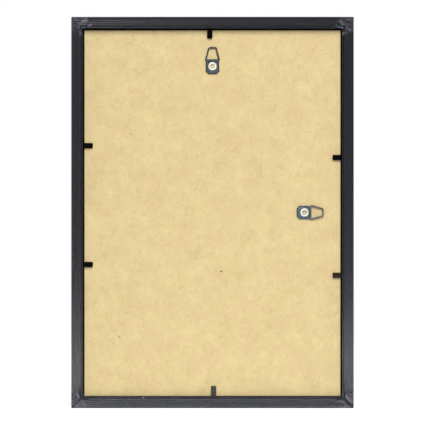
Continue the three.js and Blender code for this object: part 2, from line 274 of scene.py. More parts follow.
def grain(first, second, cell, seed):
    """Smooth random height from 0 to 1: random values on a lattice, one every cell, blended between them."""
    lattice = np.random.default_rng(seed).random((GRAIN_CELLS, GRAIN_CELLS))
    a, b = first / cell, second / cell
    i, j = np.floor(a).astype(int), np.floor(b).astype(int)
    fa, fb = smooth(0, 1, a - i), smooth(0, 1, b - j)
    i, j, after_i, after_j = (place % GRAIN_CELLS for place in (i, j, i + 1, j + 1))
    near = lattice[i, j] * (1 - fa) + lattice[after_i, j] * fa
    far = lattice[i, after_j] * (1 - fa) + lattice[after_i, after_j] * fa
    return near * (1 - fb) + far * fb


def grid_faces(rows, columns, round_rows=False, round_columns=False):
    """Quads of a grid of points: each point with its neighbours in the next row and the next column."""
    quad_rows = np.arange(rows - (not round_rows))
    quad_columns = np.arange(columns - (not round_columns))
    i, j = np.meshgrid(quad_rows, quad_columns, indexing="ij")
    after_i, after_j = (i + 1) % rows, (j + 1) % columns
    corners = [i * columns + j, after_i * columns + j, after_i * columns + after_j, i * columns + after_j]
    return np.stack(corners, -1).reshape(-1, 4)


def new_piece(name, points, faces, finish, caps=(), sharp=40):
    """A mesh object at the origin from points in mm, quads and any larger end faces, smooth but at edges
    over the sharp angle in degrees."""
    mesh = bpy.data.meshes.new(name)
    mesh.from_pydata((points.reshape(-1, 3) * MM).tolist(), [], faces.tolist() + [list(cap) for cap in caps])
    mesh.shade_smooth()
    mesh.set_sharp_from_angle(angle=np.radians(sharp))
    mesh.materials.append(finish)
    piece = bpy.data.objects.new(name, mesh)
    bpy.context.scene.collection.objects.link(piece)
    return piece


def at_side(side, along, through, inward):
    """Points in mm from distances along a side from its middle, through from the back, and in from the side's
    outer face."""
    run, inside = (np.array(direction) for direction in SIDES[side][:2])
    reach = abs(inside @ (np.array([high[0], high[2]]) - centre))
    x = centre[0] + run[0] * along + inside[0] * (inward - reach)
    z = centre[1] + run[1] * along + inside[1] * (inward - reach)
    return np.stack(np.broadcast_arrays(x, back_y + through, z), -1)


# Moulding

def moulding_section():
    """Closed section from the back face round by the rebate, the lip, the front and the outer face.
    The back face dips in cosine grooves, and every arris is an arc."""
    across = np.linspace(BACK_ARRIS, RAIL_WIDTH - WALL_ARRIS, BACK_STEPS)
    grooves = [(place, RIDGE_GROOVE_WIDTH, RIDGE_GROOVE_DEPTH) for place in RIDGE_GROOVES]
    grooves.append((BEAD_GROOVE, BEAD_GROOVE_WIDTH, BEAD_GROOVE_DEPTH))
    place, width, sink = (np.array(column)[:, None] for column in zip(*grooves))
    dip = sink * np.cos(np.pi * np.clip((across - place) / width, -0.5, 0.5)) ** 2
    lip = RAIL_WIDTH + LIP_WIDTH
    seat = depth - LIP_THICKNESS
    at_wall, at_sight, at_front, at_back = ARRIS_STEPS
    return np.concatenate([
        np.stack([across, dip.sum(0)], -1),
        arc((RAIL_WIDTH - WALL_ARRIS, WALL_ARRIS), WALL_ARRIS, -90, 0, at_wall)[1:],
        [(RAIL_WIDTH, MATT_START), (RAIL_WIDTH, seat), (lip, seat)],
        arc((lip - SIGHT_ARRIS, depth - SIGHT_ARRIS), SIGHT_ARRIS, 0, 90, at_sight),
        arc((FRONT_ARRIS, depth - FRONT_ARRIS), FRONT_ARRIS, 90, 180, at_front),
        arc((BACK_ARRIS, BACK_ARRIS), BACK_ARRIS, 180, 270, at_back)[:-1],
    ])


def into_section(section):
    """Unit directions into the plastic at the points of the section, each square to the line between the
    point's neighbours."""
    run = np.roll(section, -1, 0) - np.roll(section, 1, 0)
    run /= np.linalg.norm(run, axis=1, keepdims=True)
    return np.stack([-run[:, 1], run[:, 0]], -1)


def from_stroke(first, second, start, end):
    """Distance to the straight line between two places."""
    run = np.subtract(end, start)
    share = np.clip(((first - start[0]) * run[0] + (second - start[1]) * run[1]) / (run @ run), 0, 1)
    return np.hypot(first - start[0] - share * run[0], second - start[1] - share * run[1])


def nailed_corner(corner, first, second):
    """How deep the back face is sunk at a corner, how pale its plastic is crushed, and how much painted
    shade darkens its slots and open mitre. Each nail leaves two straight slots from a point on the mitre,
    torn open in places. The press dents the face, ragged burrs stand beside the slots, and an open mitre
    falls away from its line."""
    count = list(CRUSHED).index(corner)
    coarse = grain(first, second, COARSE_GRAIN, COARSE_SEED + count)
    fine = grain(first, second, FINE_GRAIN, FINE_SEED + count)
    patches = grain(first, second, TEAR_GRAIN, TEAR_SEED + count)
    off = np.full_like(coarse, np.inf)
    slot = np.zeros_like(coarse)
    for inset, torn in zip(NAIL_INSETS, TORN[corner]):
        for turn in (np.pi / 4 - NAIL_SPLAY, np.pi / 4 + NAIL_SPLAY):
            tip = inset + NAIL_LEG * np.cos(turn), inset + NAIL_LEG * np.sin(turn)
            leg = from_stroke(first, second, (inset, inset), tip)
            cut = 1 - smooth(*SLOT_HALVES, leg + SLOT_RAGGED * (fine - 0.5))
            slot = np.maximum(slot, cut * smooth(*TEAR_GRAINS, patches + torn))
            off = np.minimum(off, leg)
    near = 1 - smooth(*DENT_REACH, off + DENT_RAGGED * (coarse - 0.5))
    lifted = smooth(*BURR_GRAINS, BURR_COARSE * coarse + (1 - BURR_COARSE) * fine)
    lips = np.exp(-((off - BURR_OFF) / BURR_SPREAD) ** 2) * lifted
    strokes = np.zeros_like(off)
    for *ends, radius, pale in CRUSHED[corner]:
        away = from_stroke(first, second, ends[:2], ends[2:]) / radius
        ragged = away * (STROKE_EVEN + STROKE_RAGGED * coarse)
        strokes = np.maximum(strokes, pale * np.exp(-ragged ** 2))
    mitre = np.abs(first - second) / np.sqrt(2)
    length = OPEN_MITRES.get(corner, 0)
    before_end = 1 - smooth(*GAPE_CLOSE, (first + second) / 2 - length)
    opened = (1 - smooth(*GAPE_HALVES, mitre)) * before_end * (length > 0)
    raised = np.maximum(lips, strokes) * (1 - slot)
    sunk = PRESS_DENT * near - BURR_RISE * raised * near + SLOT_DEPTH * slot + GAPE_DEPTH * opened
    face = (1 - slot) * (1 - opened)
    white = np.clip((BURR_PALE * lips + strokes) * face, 0, 1) * (1 + fine) / 2
    scuffed = 1 - smooth(*SCUFF_REACH, np.hypot(first, second))
    scuff = SCUFF * scuffed * (SCUFF_EVEN + SCUFF_RAGGED * coarse) * face
    return sunk, np.maximum(white, scuff), np.maximum(slot, GAPE_SHADE * opened)


def nicked_edge(side, along, inward):
    """How deep the edge of the rebate is knocked in along a side, and how pale: a bell along the side, which
    fades out away from the edge."""
    place, half, reach, sink, pale = NICKS.get(side, (0, 1, 1, 0, 0))
    at_edge = smooth(RAIL_WIDTH - reach, RAIL_WIDTH - NICK_FULL * reach, inward)
    knock = np.exp(-((along - place) / half) ** 2) * at_edge
    return sink * knock, pale * knock


def eased_corner(first, second):
    """Distances from both outer faces at a corner, drawn in to a round where both are under its radius."""
    to_first = np.maximum(CORNER_RADIUS - first, 0)
    to_second = np.maximum(CORNER_RADIUS - second, 0)
    draw = np.maximum(np.hypot(to_first, to_second) / CORNER_RADIUS, 1)
    eased_first = np.maximum(first, CORNER_RADIUS - to_first / draw)
    eased_second = np.maximum(second, CORNER_RADIUS - to_second / draw)
    return eased_first, eased_second


def moulding_rail(side, finishes):
    """The section carried along a side, each line of it shortened at both ends by its distance from the outer
    face, which makes the mitres. Stations stand close together over both ends, where the corner's scars are.
    The last station is a little smaller towards the front, which leaves a fine line at the mitre."""
    section = moulding_section()
    across, through = section[:, 0], section[:, 1]
    in_rebate = (across == RAIL_WIDTH) & (through >= MATT_START)
    outside = (across == 0) & (np.roll(across, -1) == 0)
    run = SIDES[side][0]
    length = abs(run[0]) * (high[0] - low[0]) + abs(run[1]) * (high[2] - low[2])
    to_inner_edge = length / 2 - RAIL_WIDTH - FINE_END
    ends = np.arange(0, FINE_END, FINE_STEP)
    middle = np.linspace(-1, 1, MIDDLE_STEPS)
    if side in NICKS:
        place, half = NICKS[side][:2]
        at_nick = place + NICK_SPAN * half * np.linspace(-1, 1, NICK_STEPS)
        middle = np.sort(np.concatenate([middle, at_nick / to_inner_edge]))
    share = np.concatenate([-np.ones_like(ends), middle, np.ones_like(ends)])[:, None]
    inset = np.concatenate([ends, np.full_like(middle, FINE_END), ends[::-1]])[:, None]
    ease = MITRE_EASE * (inset == 0) * smooth(*EASE_DEPTHS, through)
    inward, through = (line + ease * aim for line, aim in zip(section.T, into_section(section).T))
    along = share * (length / 2 - inward - MITRE_GAP / np.sqrt(2) - inset)
    from_end = length / 2 - np.abs(along)
    first_corner, last_corner = SIDES[side][2:]
    at_start = np.stack(nailed_corner(first_corner, from_end, inward))
    at_end = np.stack(nailed_corner(last_corner, inward, from_end))
    on_back = 1 - smooth(*SCAR_DEPTHS, through)
    fade = on_back * (1 - smooth(*SCAR_LENGTHS, from_end - inward))
    sunk, white, dark = np.where(along > 0, at_end, at_start) * fade
    knocked, bared = nicked_edge(side, along, inward)
    sunk, white = sunk + knocked * on_back, np.maximum(white, bared * on_back)
    eased_end, eased_in = eased_corner(from_end, inward)
    points = at_side(side, np.sign(along) * (length / 2 - eased_end), through + sunk, eased_in)
    rows, columns = along.shape
    faces = grid_faces(rows, columns, round_columns=True)
    caps = np.arange(columns), np.arange(columns)[::-1] + (rows - 1) * columns
    rail = new_piece(f"moulding_{side}", points, faces, finishes[0], caps)
    # dark is painted shade: it blackens the slots and the open mitres
    for mark, value in (("crushed", white), ("painted_recess_shade", dark)):
        values = rail.data.attributes.new(mark, "FLOAT", "POINT").data
        values.foreach_set("value", value.ravel().astype(np.float32))
    for finish in finishes[1:]:
        rail.data.materials.append(finish)
    skin = np.zeros(len(rail.data.polygons), np.int32)
    skin[:len(faces)] = np.tile(in_rebate + 2 * outside, rows - 1)
    rail.data.polygons.foreach_set("material_index", skin)
    lay_out_lengthwise(rail.data, along, section, len(faces))
    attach(rail, "frame")
    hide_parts(f"rail_{side}")


def lay_out_lengthwise(mesh, along, section, quads):
    """UV map in mm: along the rail, and round its section by the length of the section's line."""
    rows, columns = along.shape
    steps = np.linalg.norm(np.diff(section, axis=0, append=section[:1]), axis=1)
    girth = np.concatenate([[0], np.cumsum(steps)])
    i, j = np.meshgrid(np.arange(rows - 1), np.arange(columns), indexing="ij")
    after = (j + 1) % columns
    lengthwise = np.stack([along[i, j], along[i + 1, j], along[i + 1, after], along[i, after]], -1)
    around = np.stack([girth[j], girth[j], girth[j + 1], girth[j + 1]], -1)
    layout = np.zeros((len(mesh.loops), 2), np.float32)
    layout[:quads * 4] = np.stack([lengthwise, around], -1).reshape(-1, 2)
    mesh.uv_layers.new(name="lengthwise").data.foreach_set("uv", layout.ravel())


# Bendable points

def side_span(side, node):
    """Lowest and highest distance of a CAD node along a side, through from the back, and in from the side's
    outer face."""
    run, inside = (np.array(direction) for direction in SIDES[side][:2])
    corners = np.array([np.array(corner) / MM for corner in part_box(node)])
    plan = corners[:, [0, 2]] - centre
    reach = abs(inside @ (np.array([high[0], high[2]]) - centre))
    return np.sort(plan @ run), np.sort(corners[:, 1]) - back_y, np.sort(plan @ inside) + reach


def bendable_point(label, finish):
    """One strip of steel from its tang to its tip: a rectangle with soft edges carried inwards, narrowing to
    the tang's point and round the corners of the tip."""
    side = label.split("_")[0]
    tang_along, tang_through, tang_in = side_span(side, f"point_tang_{label}")
    blade_in = side_span(side, f"point_blade_{label}")[2]
    hinge = RAIL_WIDTH + POINT_BEND
    bend_start, bend_end = hinge - 2 * POINT_BEND_HALF, hinge + 2 * POINT_BEND_HALF
    shoulder = blade_in[1] - POINT_TIP_RADIUS
    stations = np.concatenate([
        spaced((tang_in[0], tang_in[0] + TANG_POINT, bend_start, bend_end, shoulder), POINT_STEPS),
        shoulder + POINT_TIP_RADIUS * np.sin(np.radians(np.linspace(0, 90, POINT_TIP_STEPS + 1)))[1:],
    ])
    full = (tang_along[1] - tang_along[0]) / 2
    past = np.clip(stations - shoulder, 0, POINT_TIP_RADIUS)
    half = full - POINT_TIP_RADIUS + np.sqrt(POINT_TIP_RADIUS ** 2 - past ** 2)
    grown = np.clip((stations - tang_in[0]) / TANG_POINT, 0, 1)
    half = np.minimum(half, full * (TANG_BLUNT + (1 - TANG_BLUNT) * grown))
    thick = (tang_through[1] - tang_through[0]) / 2
    quarter = arc((0, 0), POINT_EDGE, 0, 90, POINT_EDGE_STEPS)
    edge = np.concatenate([
        quarter + (-POINT_EDGE, thick - POINT_EDGE),
        quarter[::-1] * (-1, 1) + (POINT_EDGE, thick - POINT_EDGE),
        -quarter + (POINT_EDGE, POINT_EDGE - thick),
        quarter[::-1] * (1, -1) + (-POINT_EDGE, POINT_EDGE - thick),
    ])
    to_right = np.repeat([1, -1, -1, 1], len(quarter))
    along = tang_along.mean() + to_right * half[:, None] + edge[:, 0]
    through = tang_through.mean() + np.broadcast_to(edge[:, 1], along.shape)
    points = at_side(side, along, through, stations[:, None])
    rows, columns = along.shape
    faces = grid_faces(rows, columns, round_columns=True)
    caps = np.arange(columns), np.arange(columns)[::-1] + (rows - 1) * columns
    strip = new_piece(f"bent_point_{label}", points, faces, finish, caps)
    bend = [at_side(side, tang_along.mean(), tang_through.mean(), hinge + off) * MM
            for off in (-POINT_BEND_HALF, POINT_BEND_HALF)]
    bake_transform(strip)
    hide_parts(f"point_tang_{label}", f"point_blade_{label}")


# Hangers

def at_hanger(hanger, across, out, along):
    """Points in mm from distances across a hanger, out from the board's back, and along from its eyelet."""
    run = {"top": (0, 1), "side": (1, 0)}[hanger]
    eyelet = np.array([(a + b) / 2 / MM for a, b in zip(*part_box(f"{hanger}_hanger_eyelet"))])
    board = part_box("back_board")[0][1] / MM
    x = eyelet[0] + run[0] * along + run[1] * across
    z = eyelet[2] + run[1] * along - run[0] * across
    return np.stack(np.broadcast_arrays(x, board - out, z), -1)


def hanger_sizes():
    """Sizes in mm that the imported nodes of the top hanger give."""
    strap, loop, eyelet = (np.array([np.array(c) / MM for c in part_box(f"top_hanger_{part}")])
                           for part in ("strap", "loop", "eyelet"))
    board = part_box("back_board")[0][1] / MM
    middle = eyelet.mean(0)
    wire = loop[1, 1] - loop[0, 1]
    return {
        "tail": middle[2] - strap[0, 2],
        "width": strap[1, 0] - strap[0, 0],
        "lift": board - strap[1, 1],
        "knuckle": (strap[1, 1] - strap[0, 1]) / 2,
        "wire": wire,
        "axis_out": board - loop[:, 1].mean(),
        "axis_along": loop[0, 2] + wire / 2 - middle[2],
        "reach": loop[1, 2] - loop[0, 2] - wire,
        "flange": eyelet[1, 0] - eyelet[0, 0],
        "dome_out": board - eyelet[0, 1],
        "end_out": board - eyelet[1, 1],
    }


def strap_outline(along, size):
    """Half width of the strap: chamfered at its tail, drawn in from there to a straight waist, and stepped in
    at the knuckle."""
    full = size["width"] / 2
    shoulder = STRAP_CHAMFER - size["tail"]
    neck = size["axis_along"] - size["wire"] / 2 - NECK_GAP
    lean = np.arctan2((LOOP_BASE_WIDTH - LOOP_TIP_WIDTH) / 2, size["reach"])
    knuckle = LOOP_BASE_WIDTH / 2 - LOOP_SHOULDER_RADIUS / np.tan(np.pi / 4 - lean / 2) - SHOULDER_GAP
    chamfer = np.clip(shoulder - along, 0, STRAP_CHAMFER)
    waist = STRAP_WAIST * (1 - (1 - np.clip((along - shoulder) / STRAP_FLARE, 0, 1)) ** 2)
    step = smooth(neck, neck + STRAP_STEP, along)
    return (full - chamfer - waist) * (1 - step) + knuckle * step


def hanger_strap(hanger, finish, size):
    """A sheet folded in half round the wire: a line along the lower leaf, three quarters round the knuckle
    and back along the upper leaf, spread across to the strap's outline. Squares about the eyelet widen into
    its round hole."""
    radius = size["knuckle"] - STRAP_THICKNESS / 2
    middle = (size["axis_along"], size["lift"] + size["knuckle"])
    tail, start = size["tail"], size["axis_along"]
    lower = size["lift"] + STRAP_THICKNESS / 2
    upper = lower + STRAP_THICKNESS
    core, ring = STRAP_CORE, EYELET_HOLE / 2
    shoulder = STRAP_CHAMFER - tail
    leaf_end = start - size["wire"] / 2 - NECK_GAP
    leaf = spaced((-tail, shoulder, shoulder + STRAP_FLARE, -core, core, leaf_end), LEAF_STEPS)
    neck = leaf_end + STRAP_STEP
    turn = arc(middle, radius, -90, KNUCKLE_CLOSE, KNUCKLE_STEPS)
    ease = np.linspace(0, 1, LANDING_STEPS + 1)[1:, None]
    land = np.array([neck, upper])
    pull = np.array([neck + KNUCKLE_PULL, upper])
    back = turn[-1] * (1 - ease) ** 2 + pull * 2 * ease * (1 - ease) + land * ease ** 2
    line = np.concatenate([
        np.stack([leaf, np.full_like(leaf, lower)], -1),
        [(neck, lower)],
        turn,
        back,
        np.stack([leaf[::-1], np.full_like(leaf, upper)], -1),
    ])
    lanes = spaced((-1, -CORE_LANE, CORE_LANE, 1), LANE_STEPS)
    on_leaf = np.repeat([True, False, True], [len(leaf), 1 + len(turn) + len(back), len(leaf)])
    half = strap_outline(np.where(on_leaf, line[:, 0], start), size)
    spread = (np.abs(lanes) - CORE_LANE) / (1 - CORE_LANE)
    to_edge = np.sign(lanes) * (core + spread * (half[:, None] - core))
    across = np.where(spread > 0, to_edge, lanes / CORE_LANE * core)
    along = np.broadcast_to(line[:, :1], across.shape)
    # dull is painted shade: darker along the stamped edges and over the knuckle
    dull = 1 - smooth(0, EDGE_SHADE_REACH, np.minimum(half[:, None] - np.abs(across), along + tail))
    dull = np.where(on_leaf[:, None], dull, KNUCKLE_SHADE)
    square = np.maximum(np.abs(along), np.abs(across))
    blend = smooth(0, CORE_BLEND, square - core)
    away = np.maximum(np.hypot(along, across), TOLERANCE)
    widen = (1 - blend) * (ring + square - core) / away + blend
    flat = on_leaf[:, None] & (square >= core - TOLERANCE)
    along, across = np.where(flat, along * widen, along), np.where(flat, across * widen, across)
    points = at_hanger(hanger, across, line[:, 1:], along)
    rows, columns = across.shape
    faces = grid_faces(rows, columns)
    inside = (on_leaf[:, None] & (square <= core + TOLERANCE)).ravel()
    faces = faces[~inside[faces].all(1)]
    used = np.unique(faces)
    renumber = np.zeros(rows * columns, int)
    renumber[used] = np.arange(len(used))
    strap = new_piece(f"folded_strap_{hanger}", points.reshape(-1, 3)[used], renumber[faces], finish)
    value = dull.ravel()[used].astype(np.float32)
    strap.data.attributes.new("dull", "FLOAT", "POINT").data.foreach_set("value", value)
    sheet = strap.modifiers.new("sheet", "SOLIDIFY")
    sheet.thickness = (STRAP_THICKNESS - LEAF_GAP) * MM
    sheet.offset = 0
    edge = strap.modifiers.new("stamped edge", "BEVEL")
    edge.width = STRAP_EDGE * MM
    edge.segments = 2
    edge.angle_limit = EDGE_ANGLE
    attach(strap, f"{hanger}_strap")
    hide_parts(f"{hanger}_hanger_strap")


def rounded_ring(corners, steps):
    """Closed line through corners (across, along, radius), each one rounded by an arc of so many steps."""
    places = np.array(corners)[:, :2]
    radius = np.array(corners)[:, 2:]
    before = np.roll(places, 1, 0) - places
    after = np.roll(places, -1, 0) - places
    before /= np.linalg.norm(before, axis=1, keepdims=True)
    after /= np.linalg.norm(after, axis=1, keepdims=True)
    half = np.arccos((before * after).sum(1, keepdims=True)) / 2
    mid = before + after
    mid /= np.linalg.norm(mid, axis=1, keepdims=True)
    middle = places + mid * radius / np.sin(half)
    spread = np.linspace(-1, 1, steps + 1) * (np.pi / 2 - half)
    base = np.arctan2(-mid[:, 1:], -mid[:, :1])
    return np.stack([middle[:, :1] + radius * np.cos(base + spread),
                     middle[:, 1:] + radius * np.sin(base + spread)], -1).reshape(-1, 2)


def hanger_loop(hanger, finish, size):
    """Round wire carried along a closed trapezium with round corners, in the plane that halves each bend."""
    base, tip = LOOP_BASE_WIDTH / 2, LOOP_TIP_WIDTH / 2
    line = rounded_ring([
        (-base, 0, LOOP_SHOULDER_RADIUS),
        (base, 0, LOOP_SHOULDER_RADIUS),
        (tip, size["reach"], LOOP_TIP_RADIUS),
        (-tip, size["reach"], LOOP_TIP_RADIUS),
    ], LOOP_CORNER_STEPS)
    run = np.roll(line, -1, 0) - np.roll(line, 1, 0)
    run /= np.linalg.norm(run, axis=1, keepdims=True)
    off = np.stack([run[:, 1], -run[:, 0]], -1)
    angle = np.linspace(0, 2 * np.pi, WIRE_TURNS, endpoint=False)
    wire = size["wire"] / 2
    across = line[:, :1] + wire * off[:, :1] * np.cos(angle)
    along = line[:, 1:] + wire * off[:, 1:] * np.cos(angle)
    out = size["axis_out"] + np.broadcast_to(wire * np.sin(angle), across.shape)
    points = at_hanger(hanger, across, out, size["axis_along"] + along)
    loop = new_piece(f"wire_loop_{hanger}", points, grid_faces(*across.shape, True, True), finish)
    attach(loop, f"{hanger}_loop")
    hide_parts(f"{hanger}_hanger_loop")


def hanger_eyelet(hanger, finish, size):
    """Profile turned round the eyelet's axis: domed flange, tube, and an end that flares inside the board."""
    bore, flange, flare = EYELET_BORE / 2, size["flange"] / 2, EYELET_FLARE / 2
    tube = bore + EYELET_WALL
    crown = (bore + flange) / 2
    under = size["dome_out"] - EYELET_DOME
    end = size["end_out"]
    start = end + EYELET_FLARE_LENGTH
    quarter = np.radians(np.linspace(0, 90, EYELET_STEPS + 1))
    rise, fall = np.sin(quarter), np.cos(quarter)
    rim = under + EYELET_RIM
    dome_out = np.stack([crown + (flange - crown) * fall, rim + (EYELET_DOME - EYELET_RIM) * rise], -1)
    dome_in = np.stack([crown - (crown - bore) * rise, under + EYELET_DOME * fall], -1)
    flare_in = np.stack([bore + (flare - EYELET_TIP - bore) * (1 - fall), start + (end - start) * rise], -1)
    flare_out = np.stack([tube + (flare - tube) * (1 - rise), start + (end + EYELET_TIP - start) * fall], -1)
    profile = np.concatenate([
        [(tube, under), (flange - EYELET_CHAMFER, under), (flange, under + EYELET_CHAMFER)],
        dome_out,
        dome_in[1:],
        flare_in,
        flare_out,
    ])
    angle = np.linspace(0, 2 * np.pi, EYELET_TURNS, endpoint=False)[:, None]
    points = at_hanger(hanger, profile[:, 0] * np.cos(angle), profile[:, 1], profile[:, 0] * np.sin(angle))
    faces = grid_faces(EYELET_TURNS, len(profile), True, True)
    eyelet = new_piece(f"domed_eyelet_{hanger}", points, faces, finish)
    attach(eyelet, "frame")
    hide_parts(f"{hanger}_hanger_eyelet")


# Materials

# Places of the two colour inputs of a mix node
MIX_A, MIX_B = 6, 7

# Length and spacing in mm of the die's fine lines, and of the lines that it drags inside the rebate
DIE_LINES = (90, 0.5)
DRAG_LINES = (30, 0.8)

# Fibre in the hardboard: turn in degrees, colour, length and width in mm, noise from which it shows, and how
# strongly. Loose bundles are drawn coarse enough to show at the photograph's scale, and single fibres at
# their own size.
FIBRES = (
    (20, "#d1b37a", 6.4, 3.8, 0.56, 0.33),
    (75, "#f1deae", 6.4, 3.8, 0.56, 0.33),
    (115, "#cfb27c", 6.4, 3.8, 0.56, 0.33),
    (160, "#eedba8", 6.4, 3.8, 0.56, 0.33),
    (12, "#bd9c5c", 2.6, 0.2, 0.55, 0.3),
    (64, "#f6e3ae", 2.2, 0.2, 0.55, 0.3),
    (103, "#bd9c5c", 2.4, 0.2, 0.55, 0.3),
    (147, "#f6e3ae", 2.8, 0.2, 0.55, 0.3),
)

# Bark in the hardboard's back: places in X and Z and radius of each larger speck in mm, and how dark it is
BARK = ((7.2, 111.7, 1.05, 0.85), (-76.1, 58.4, 0.9, 0.7), (-66.8, 224.6, 1.2, 0.25), (-56.4, 66.7, 0.8, 0.3))
BARK_COLOUR = "#7d6436"


def linear(srgb_hex):
    """An sRGB hex value as linear red, green and blue with full alpha."""
    value = np.array([int(srgb_hex[i:i + 2], 16) for i in (1, 3, 5)]) / 255
    return (*np.where(value <= 0.04045, value / 12.92, ((value + 0.055) / 1.055) ** 2.4).tolist(), 1.0)


def add(tree, kind, inputs=None, **settings):
    """A shader node with its settings. Each named input is linked from a socket or from a node's first output
    in use, or set to a value."""
    made = tree.nodes.new("ShaderNode" + kind)
    for name, value in settings.items():
        setattr(made, name, value)
    for name, value in (inputs or {}).items():
        if isinstance(value, bpy.types.Node):
            value = next(output for output in value.outputs if output.enabled)
        if isinstance(value, bpy.types.NodeSocket):
            tree.links.new(value, made.inputs[name])
        else:
            made.inputs[name].default_value = value
    return made


def new_material(name):
    """An empty node material and its tree."""
    material = bpy.data.materials.new(name)
    material.use_nodes = True
    material.node_tree.nodes.clear()
    return material, material.node_tree


def per_mm(size):
    """Texture scale, on coordinates in metres, for a pattern of that size in mm."""
    return 1 / (size * MM)


def skinned_polystyrene(name, roughness):
    """Polystyrene moulding, extruded through a die and coloured black: a smooth skin with fine lengthwise die
    lines, which turns grey and rough where a nail crushes it. In the slots and open mitres it is rougher and
    painted near black as painted shade."""
    material, tree = new_material(name)
    layout = add(tree, "UVMap", uv_map="lengthwise")
    lengthwise = add(tree, "Mapping", {"Vector": layout, "Scale": (1 / DIE_LINES[0], 1 / DIE_LINES[1], 1)})
    lines = add(tree, "TexNoise", {"Vector": lengthwise, "Scale": 1, "Detail": 3})
    place = add(tree, "TexCoord").outputs["Object"]
    crushed = add(tree, "Attribute", attribute_name="crushed")
    grains = add(tree, "TexNoise", {"Vector": place, "Scale": per_mm(0.35), "Detail": 2})
    grains = add(tree, "MapRange", {
        "Value": grains, "From Min": 0.35, "From Max": 0.65, "To Min": 0.35, "To Max": 1.65,
    })
    crushed = add(tree, "Math", {0: crushed.outputs["Fac"], 1: grains}, operation="MULTIPLY", use_clamp=True)
    smudge = add(tree, "TexNoise", {"Vector": place, "Scale": per_mm(14), "Detail": 2})
    shade = add(tree, "MapRange", {"Value": lines, "From Min": 0.35, "From Max": 0.65})
    skin = add(tree, "Mix", {
        "Factor": shade, MIX_A: linear("#08080b"), MIX_B: linear("#16161d"),
    }, data_type="RGBA")
    colour = add(tree, "Mix", {"Factor": crushed, MIX_A: skin, MIX_B: linear("#7a7a86")}, data_type="RGBA")
    # Painted shade: slots and open mitres are darkened to near black, and made rougher
    painted_recess_shade = add(tree, "Attribute", attribute_name="painted_recess_shade")
    colour = add(tree, "Mix", {
        "Factor": painted_recess_shade.outputs["Fac"], MIX_A: colour, MIX_B: linear("#020202"),
    }, data_type="RGBA")
    gloss = add(tree, "MapRange", {
        "Value": smudge, "From Min": 0.3, "From Max": 0.7,
        "To Min": roughness - 0.01, "To Max": roughness + 0.01,
    })
    dull = add(tree, "Math", {0: crushed, 1: 0.35, 2: gloss}, operation="MULTIPLY_ADD")
    dull = add(tree, "Math", {
        0: painted_recess_shade.outputs["Fac"], 1: 0.7, 2: dull,
    }, operation="MULTIPLY_ADD", use_clamp=True)
    bump = add(tree, "Bump", {"Height": lines, "Distance": 0.02 * MM, "Strength": 0.2})
    skin_shader = add(tree, "BsdfPrincipled", {
        "Base Color": colour,
        "Roughness": dull,
        "Normal": bump,
        "Specular IOR Level": 0.24,
        "Specular Tint": linear("#f3f8fc"),
        "IOR": 1.5,
    })
    add(tree, "OutputMaterial", {"Surface": skin_shader})
    return material


def raw_polystyrene_painted_shade():
    """The same plastic inside the rebate, where the die drags and no polish reaches: matt with coarse lines,
    and painted a darker black than the faces as painted shade in the rebate."""
    material, tree = new_material("polystyrene_raw_black_painted_shade")
    layout = add(tree, "UVMap", uv_map="lengthwise")
    lengthwise = add(tree, "Mapping", {"Vector": layout, "Scale": (1 / DRAG_LINES[0], 1 / DRAG_LINES[1], 1)})
    drag = add(tree, "TexNoise", {"Vector": lengthwise, "Scale": 1, "Detail": 3})
    colour = add(tree, "Mix", {
        "Factor": drag, MIX_A: linear("#050506"), MIX_B: linear("#101013"),
    }, data_type="RGBA")
    gloss = add(tree, "MapRange", {"Value": drag, "To Min": 0.8, "To Max": 0.95})
    bump = add(tree, "Bump", {"Height": drag, "Distance": 0.05 * MM, "Strength": 0.3})
    plastic = add(tree, "BsdfPrincipled", {
        "Base Color": colour,
        "Roughness": gloss,
        "Normal": bump,
        "Specular IOR Level": 0.03,
    })
    add(tree, "OutputMaterial", {"Surface": plastic})
    return material


def lacquered_steel(name, dark, pale):
    """Soft steel strip, rolled and dipped in black lacquer: matt, from dark to pale in fine grit."""
    material, tree = new_material(name)
    place = add(tree, "TexCoord").outputs["Object"]
    grit = add(tree, "TexNoise", {"Vector": place, "Scale": per_mm(0.7), "Detail": 3})
    colour = add(tree, "Mix", {"Factor": grit, MIX_A: linear(dark), MIX_B: linear(pale)}, data_type="RGBA")
    gloss = add(tree, "MapRange", {"Value": grit, "To Min": 0.34, "To Max": 0.5})
    bump = add(tree, "Bump", {"Height": grit, "Distance": 0.03 * MM, "Strength": 0.3})
    lacquer = add(tree, "BsdfPrincipled", {
        "Base Color": colour,
        "Roughness": gloss,
        "Normal": bump,
        "Specular IOR Level": 0.02,
    })
    add(tree, "OutputMaterial", {"Surface": lacquer})
    return material


def plated_metal(name, dark, pale, roughness, cloud, bump_depth):
    """Plated metal: its colour drifts in clouds of the given size in mm, over a fine tumbled grain, and
    painted shade darkens it where a piece's dull attribute marks a strap's stamped edges and knuckle."""
    material, tree = new_material(name)
    place = add(tree, "TexCoord").outputs["Object"]
    clouds = add(tree, "TexNoise", {"Vector": place, "Scale": per_mm(cloud), "Detail": 3})
    tumbled = add(tree, "TexNoise", {"Vector": place, "Scale": per_mm(0.35), "Detail": 2})
    drift = add(tree, "MapRange", {"Value": clouds, "From Min": 0.3, "From Max": 0.7})
    colour = add(tree, "Mix", {"Factor": drift, MIX_A: linear(dark), MIX_B: linear(pale)}, data_type="RGBA")
    edge = add(tree, "Attribute", attribute_name="dull")
    painted_edge_shade = add(tree, "MapRange", {"Value": edge.outputs["Fac"], "To Max": 0.75})
    colour = add(tree, "Mix", {"Factor": painted_edge_shade, MIX_A: colour, MIX_B: linear("#1c1e20")}, data_type="RGBA")
    gloss = add(tree, "MapRange", {"Value": tumbled, "To Min": roughness - 0.06, "To Max": roughness + 0.06})
    bump = add(tree, "Bump", {"Height": tumbled, "Distance": bump_depth * MM, "Strength": 0.4})
    plating = add(tree, "BsdfPrincipled", {
        "Base Color": colour,
        "Metallic": 1.0,
        "Roughness": gloss,
        "Normal": bump,
    })
    add(tree, "OutputMaterial", {"Surface": plating})
    return material


